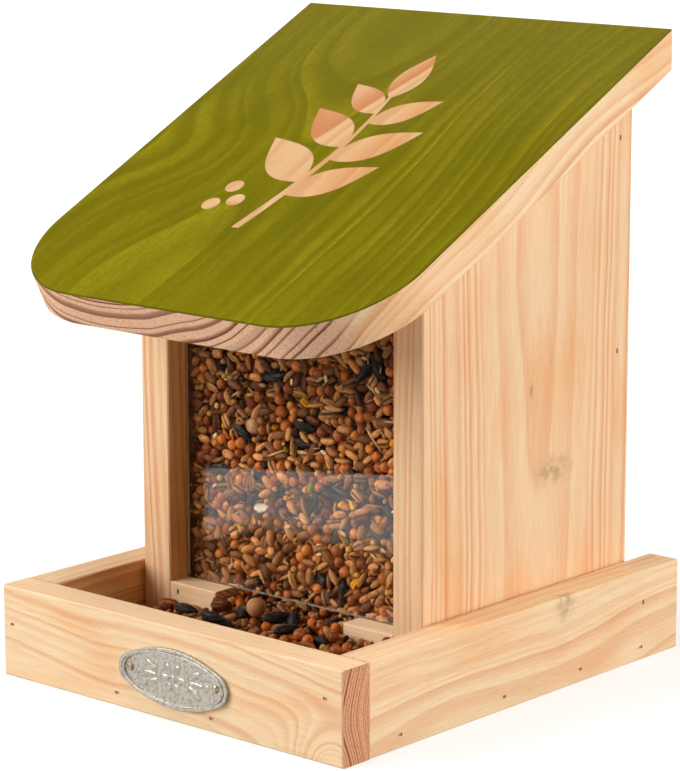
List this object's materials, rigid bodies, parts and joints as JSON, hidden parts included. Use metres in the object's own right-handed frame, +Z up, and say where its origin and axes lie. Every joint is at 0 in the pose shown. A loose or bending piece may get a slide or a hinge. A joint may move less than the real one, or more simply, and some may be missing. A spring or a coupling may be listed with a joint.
{
  "type": "silo bird feeder",
  "caption": "Wooden silo bird feeder: open tray, seed silo with a clear front pane and outlet, and a sloping roof hinged at the back.",
  "frame": {"origin": "middle of the tray's underside, on the surface that the feeder stands on", "axes": "+Z up, +X to the right as seen from the front, +Y from the open tray towards the back panel"},
  "size_m": [0.179, 0.1979, 0.2408],
  "materials": {
    "pine": "planed, unfinished",
    "stained_pine": "olive green stain on the upper face, bare edges",
    "clear_pane": "clear acrylic",
    "hinge_steel": "zinc plated",
    "nail_steel": "bright steel, slightly tarnished",
    "cast_zinc": "cast, dull grey"
  },
  "bodies": {
    "feeder": {"tray_front_board": "pine", "tray_left_board": "pine", "tray_right_board": "pine", "tray_floor": "pine", "left_side_panel": "pine", "right_side_panel": "pine", "back_panel": "pine", "left_window_block": "pine", "right_window_block": "pine", "front_window": "clear_pane", "hinge_back_leaves": "hinge_steel", "hinge_pins": "hinge_steel", "hinge_back_screws": "hinge_steel", "front_board_nails": "nail_steel", "right_board_nails": "nail_steel", "left_board_nails": "nail_steel", "right_panel_nails": "nail_steel", "left_panel_nails": "nail_steel", "window_block_nails": "nail_steel", "oval_plaque": "cast_zinc", "plaque_pins": "nail_steel"},
    "roof": {"roof_board": "stained_pine", "hinge_roof_leaves": "hinge_steel", "hinge_roof_screws": "hinge_steel"}
  },
  "joints": [
    {"name": "roof_hinge", "type": "hinge", "parent": "feeder", "child": "roof", "pos_m": [0, 0.0834, 0.22516], "axis": [-1, 0, 0], "range_deg": [0, 185]}
  ]
}
